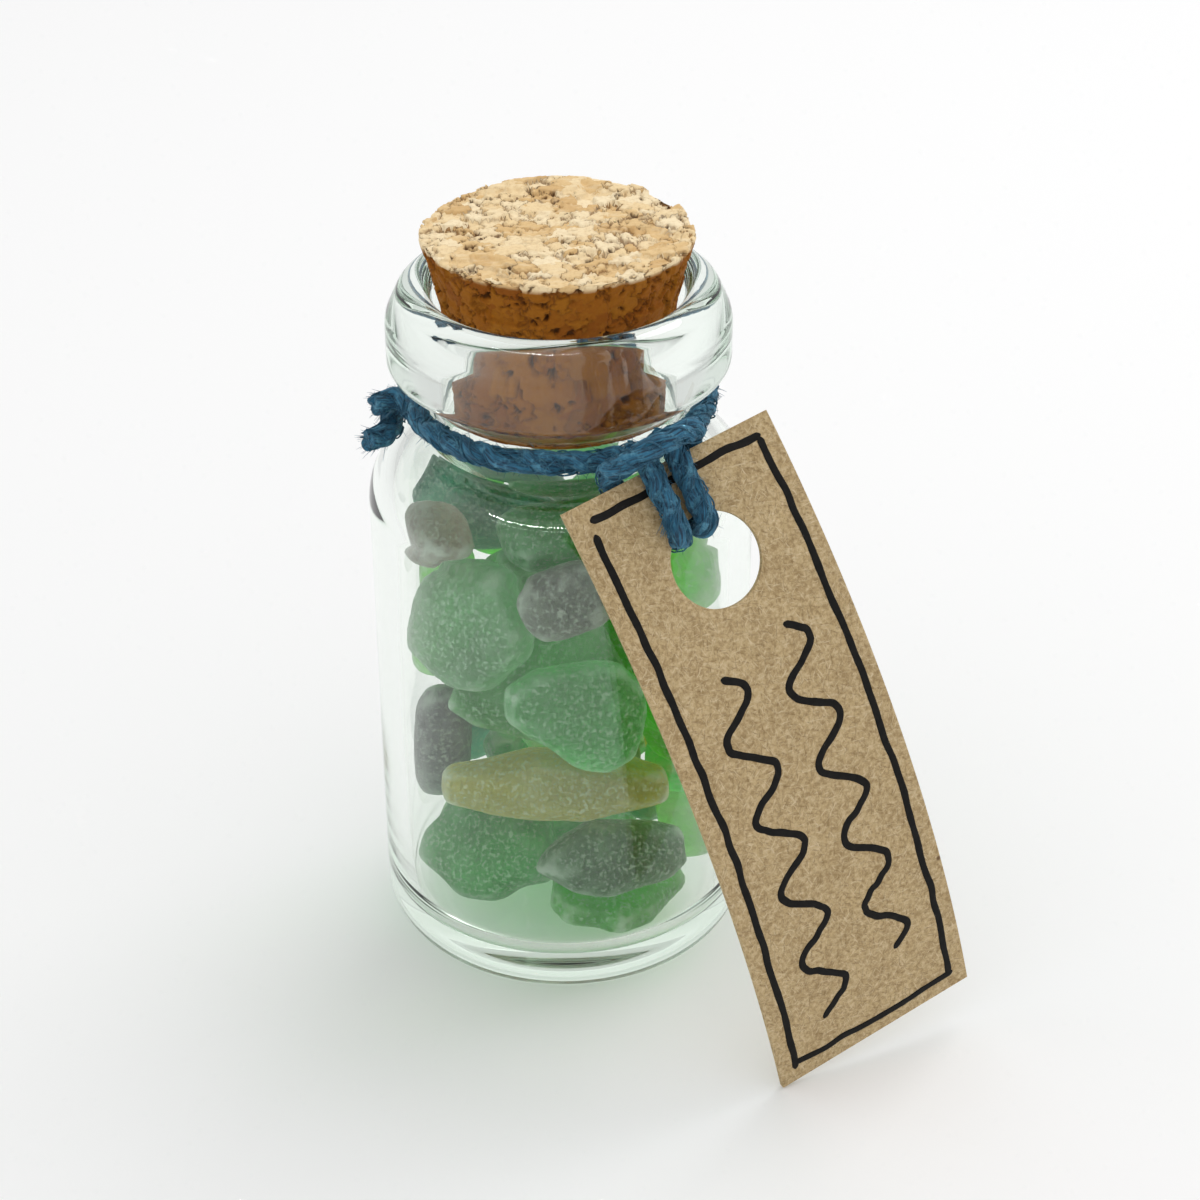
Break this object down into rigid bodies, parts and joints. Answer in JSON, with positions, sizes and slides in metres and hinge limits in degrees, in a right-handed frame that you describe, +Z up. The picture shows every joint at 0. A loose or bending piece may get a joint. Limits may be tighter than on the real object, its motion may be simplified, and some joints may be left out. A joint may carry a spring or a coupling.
{
  "type": "corked glass bottle",
  "caption": "Small corked glass bottle filled with tumbled sea glass, with a kraft card tag hung on a cord round its neck.",
  "frame": {"origin": "middle of the underside of the base, on the table", "axes": "+Z up along the bottle's axis; -Y to the front; +X to the right, where the tag hangs"},
  "size_m": [0.0377, 0.0325, 0.0495],
  "materials": {
    "clear_glass": "clear, glossy",
    "agglomerated_cork": "agglomerated cork granules, matt",
    "blue_cotton_cord": "twisted cotton, matt",
    "kraft_card": "brown kraft card, matt",
    "sea_glass_teal_grey": "tumbled, frosted",
    "sea_glass_brown_grey": "tumbled, frosted",
    "sea_glass_light_green": "tumbled, frosted",
    "sea_glass_pale_sea": "tumbled, frosted",
    "sea_glass_pale_green": "tumbled, frosted",
    "sea_glass_lavender": "tumbled, frosted",
    "sea_glass_mid_green": "tumbled, frosted",
    "sea_glass_sea_green": "tumbled, frosted",
    "sea_glass_bright_green": "tumbled, frosted",
    "sea_glass_olive": "tumbled, frosted",
    "sea_glass_dark_grey": "tumbled, frosted",
    "sea_glass_deep_green": "tumbled, frosted",
    "sea_glass_dark_green": "tumbled, frosted"
  },
  "bodies": {
    "bottle_body": {"bottle": "clear_glass", "sea_glass_01": "sea_glass_teal_grey", "sea_glass_02": "sea_glass_brown_grey", "sea_glass_03": "sea_glass_light_green", "sea_glass_04": "sea_glass_pale_sea", "sea_glass_05": "sea_glass_pale_green", "sea_glass_06": "sea_glass_lavender", "sea_glass_07": "sea_glass_mid_green", "sea_glass_08": "sea_glass_sea_green", "sea_glass_09": "sea_glass_bright_green", "sea_glass_10": "sea_glass_olive", "sea_glass_11": "sea_glass_dark_grey", "sea_glass_12": "sea_glass_deep_green", "sea_glass_13": "sea_glass_dark_green", "sea_glass_14": "sea_glass_bright_green", "sea_glass_15": "sea_glass_pale_green", "sea_glass_16": "sea_glass_light_green", "sea_glass_17": "sea_glass_teal_grey", "sea_glass_18": "sea_glass_deep_green", "sea_glass_19": "sea_glass_pale_sea", "sea_glass_20": "sea_glass_sea_green", "sea_glass_21": "sea_glass_mid_green", "sea_glass_22": "sea_glass_olive", "sea_glass_23": "sea_glass_sea_green", "sea_glass_24": "sea_glass_pale_sea", "sea_glass_25": "sea_glass_bright_green", "sea_glass_26": "sea_glass_light_green", "sea_glass_27": "sea_glass_teal_grey", "sea_glass_28": "sea_glass_mid_green", "sea_glass_29": "sea_glass_pale_green", "sea_glass_30": "sea_glass_light_green", "sea_glass_31": "sea_glass_deep_green", "sea_glass_32": "sea_glass_dark_green", "sea_glass_33": "sea_glass_sea_green", "sea_glass_34": "sea_glass_mid_green", "sea_glass_35": "sea_glass_deep_green", "sea_glass_36": "sea_glass_mid_green", "sea_glass_37": "sea_glass_sea_green", "sea_glass_38": "sea_glass_bright_green", "sea_glass_39": "sea_glass_teal_grey"},
    "cork_body": {"cork_stopper": "agglomerated_cork"},
    "neck_cord_body": {"neck_cord_front": "blue_cotton_cord", "neck_cord_back": "blue_cotton_cord"},
    "tag_body": {"tag": "kraft_card", "tag_hitch": "blue_cotton_cord"}
  },
  "joints": [
    {"name": "cork_pull", "type": "slide", "parent": "bottle_body", "child": "cork_body", "axis": [0, 0, 1], "range_m": [0, 0.02]},
    {"name": "neck_cord_turn", "type": "hinge", "parent": "bottle_body", "child": "neck_cord_body", "pos_m": [0, 0, 0.0384], "axis": [0, 0, 1], "continuous": true},
    {"name": "tag_swing", "type": "hinge", "parent": "neck_cord_body", "child": "tag_body", "pos_m": [0.00585, -0.00944, 0.04017], "axis": [-0.8517, -0.4775, -0.2158], "range_deg": [0, 40]}
  ]
}
